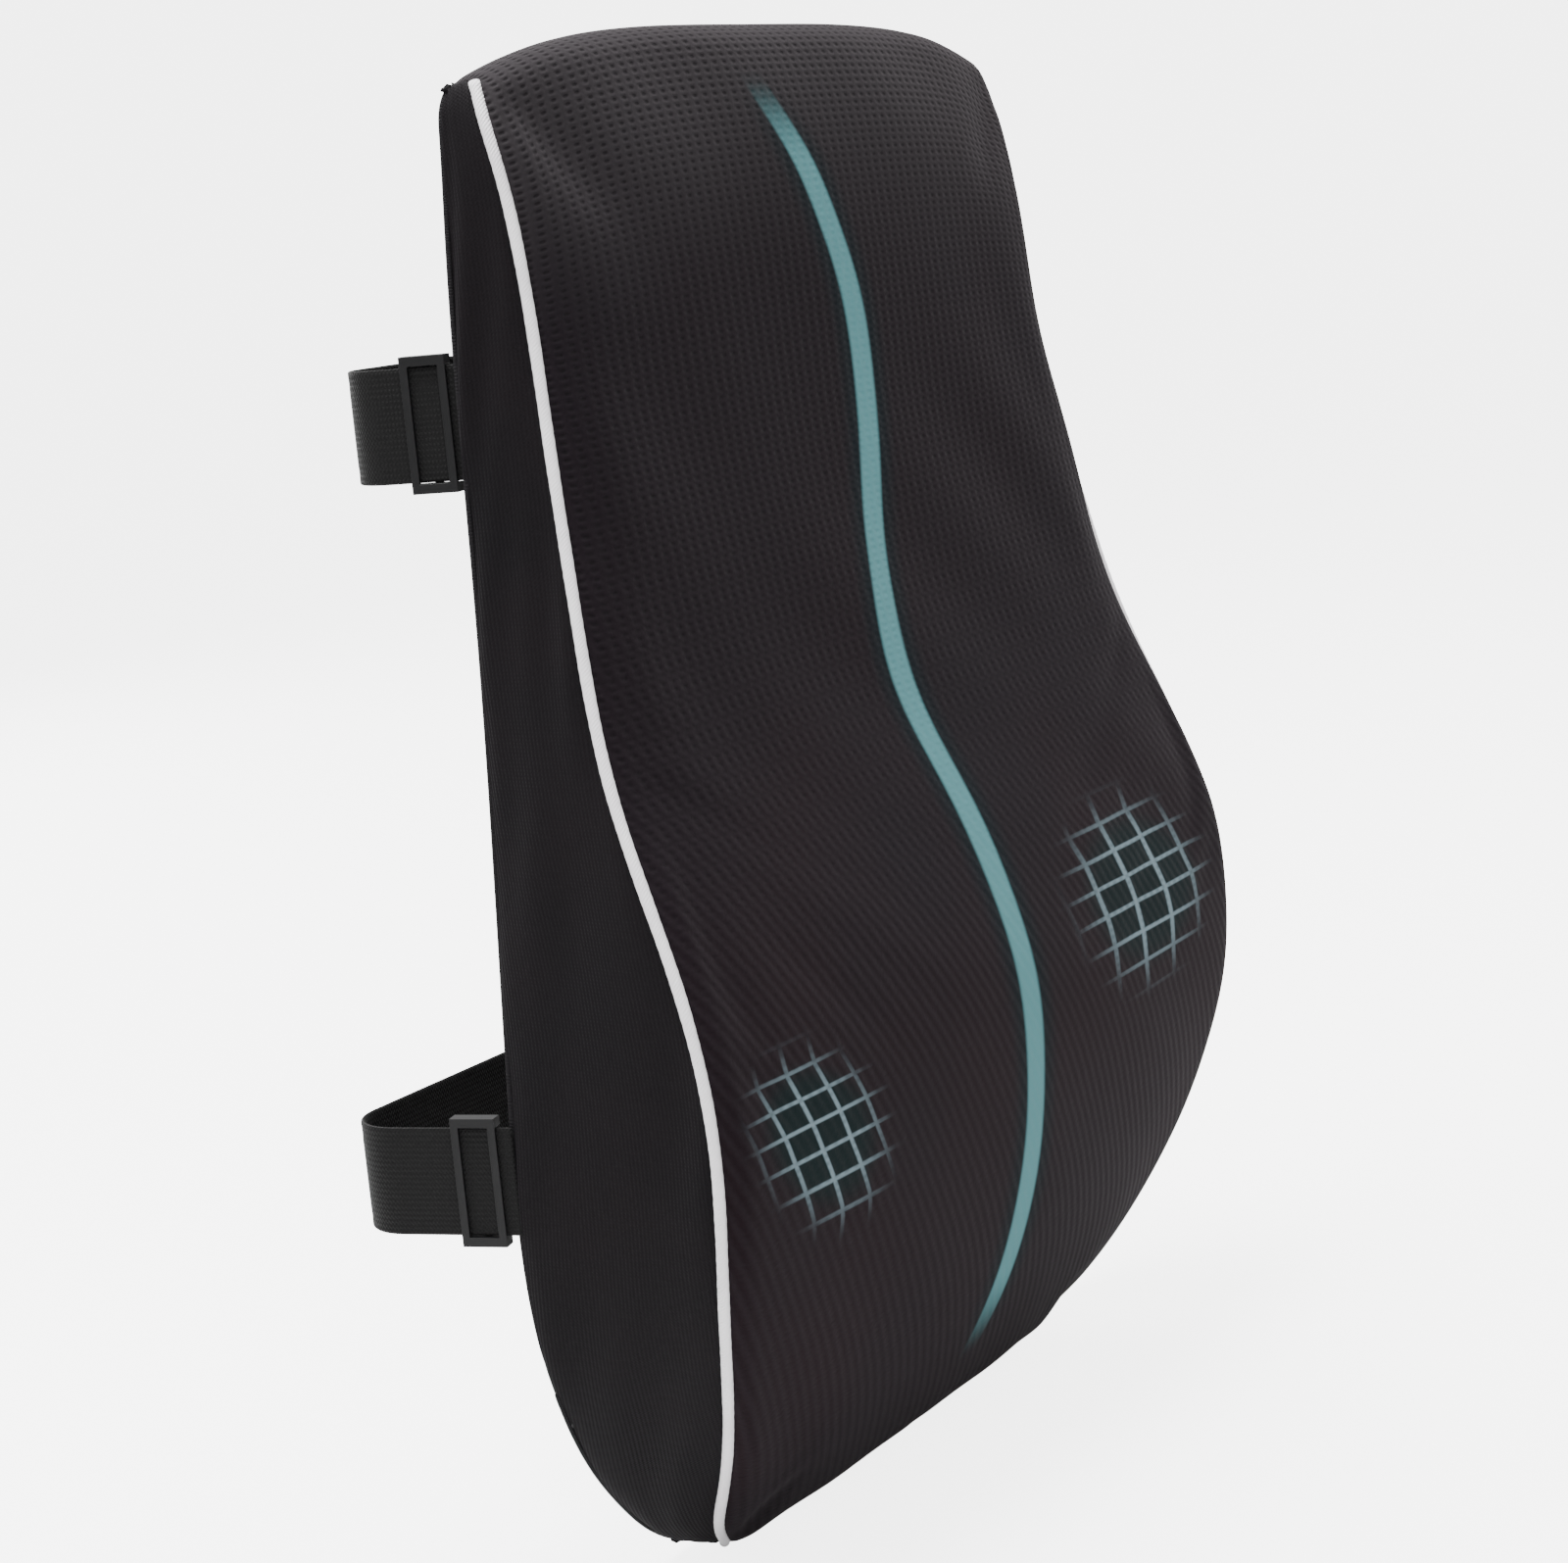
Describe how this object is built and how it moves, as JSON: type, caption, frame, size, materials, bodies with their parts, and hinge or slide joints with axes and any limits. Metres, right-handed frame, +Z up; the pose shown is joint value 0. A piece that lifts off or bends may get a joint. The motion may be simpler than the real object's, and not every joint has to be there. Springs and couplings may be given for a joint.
{
  "type": "lumbar support cushion",
  "caption": "Contoured lumbar support cushion for a chair: foam core in a piped air-mesh cover with a zip, on buckled webbing straps.",
  "frame": {"origin": "on the back panel's outer face, at the middle of the cushion's width and half its height", "axes": "+Z up along the cushion's length, +Y out of the back face towards the chair, +X to the right as seen from the front"},
  "size_m": [0.3472, 0.1424, 0.455],
  "materials": {
    "foam": "open-cell foam",
    "liner_cloth": "thin knitted liner",
    "air_mesh": "near-black knitted air mesh with a printed dotted line and grids",
    "gusset_cloth": "smooth black cloth",
    "back_cloth": "black cloth",
    "piping_white": "white piping cover",
    "piping_cord": "twisted cord",
    "zip_tape": "woven tape",
    "zip_plastic": "moulded teeth",
    "zip_metal": "dark coated metal",
    "webbing": "smooth woven band",
    "buckle_plastic": "moulded, satin"
  },
  "bodies": {
    "cushion": {"foam_core": "foam", "foam_liner": "liner_cloth", "front_panel": "air_mesh", "side_panel_left": "gusset_cloth", "side_panel_right": "gusset_cloth", "back_panel_upper": "back_cloth", "back_panel_lower": "back_cloth", "piping_left": "piping_white", "piping_right": "piping_white", "piping_core_left": "piping_cord", "piping_core_right": "piping_cord", "zip_tape_upper": "zip_tape", "zip_tape_lower": "zip_tape", "zip_teeth_upper": "zip_plastic", "zip_teeth_lower": "zip_plastic", "zip_stop_left": "zip_metal", "zip_stop_right": "zip_metal", "strap_upper_left": "webbing", "strap_upper_right": "webbing", "buckle_upper_socket": "buckle_plastic", "strap_lower_left": "webbing", "strap_lower_right": "webbing", "buckle_lower_socket": "buckle_plastic"},
    "zip_slider": {"zip_slider": "zip_metal"},
    "zip_pull": {"zip_pull": "zip_metal"},
    "plug_upper": {"buckle_upper_plug": "buckle_plastic"},
    "arm_upper_top": {"buckle_upper_arm_top": "buckle_plastic"},
    "arm_upper_bottom": {"buckle_upper_arm_bottom": "buckle_plastic"},
    "adjuster_upper": {"adjuster_upper": "buckle_plastic"},
    "plug_lower": {"buckle_lower_plug": "buckle_plastic"},
    "arm_lower_top": {"buckle_lower_arm_top": "buckle_plastic"},
    "arm_lower_bottom": {"buckle_lower_arm_bottom": "buckle_plastic"},
    "adjuster_lower": {"adjuster_lower": "buckle_plastic"}
  },
  "joints": [
    {"name": "zip_slide", "type": "slide", "parent": "cushion", "child": "zip_slider", "axis": [1, 0, 0], "range_m": [0, 0.278]},
    {"name": "zip_pull_turn", "type": "hinge", "parent": "zip_slider", "child": "zip_pull", "pos_m": [-0.13909, 0.0019, -0.155], "axis": [0, 0, 1], "range_deg": [0, 180]},
    {"name": "buckle_upper_release", "type": "slide", "parent": "cushion", "child": "plug_upper", "axis": [1, 0, 0], "range_m": [0, 0.026], "deforming": ["strap_upper_right"]},
    {"name": "arm_upper_top_press", "type": "hinge", "parent": "plug_upper", "child": "arm_upper_top", "pos_m": [-0.0018, 0.042, 0.1446], "axis": [0, -1, 0], "range_deg": [0, 6], "stiffness_Nm_per_rad": 0.5},
    {"name": "arm_upper_bottom_press", "type": "hinge", "parent": "plug_upper", "child": "arm_upper_bottom", "pos_m": [-0.0018, 0.042, 0.1154], "axis": [0, 1, 0], "range_deg": [0, 6], "stiffness_Nm_per_rad": 0.5},
    {"name": "adjuster_upper_slide", "type": "slide", "parent": "cushion", "child": "adjuster_upper", "axis": [-0.2588, 0.9659, 0], "range_m": [0, 0.006]},
    {"name": "buckle_lower_release", "type": "slide", "parent": "cushion", "child": "plug_lower", "axis": [1, 0, 0], "range_m": [0, 0.026], "deforming": ["strap_lower_right"]},
    {"name": "arm_lower_top_press", "type": "hinge", "parent": "plug_lower", "child": "arm_lower_top", "pos_m": [-0.0018, 0.054, -0.0734], "axis": [0, -1, 0], "range_deg": [0, 6], "stiffness_Nm_per_rad": 0.5},
    {"name": "arm_lower_bottom_press", "type": "hinge", "parent": "plug_lower", "child": "arm_lower_bottom", "pos_m": [-0.0018, 0.054, -0.1026], "axis": [0, 1, 0], "range_deg": [0, 6], "stiffness_Nm_per_rad": 0.5},
    {"name": "adjuster_lower_slide", "type": "slide", "parent": "cushion", "child": "adjuster_lower", "axis": [-0.2588, 0.9659, 0], "range_m": [0, 0.018]}
  ]
}
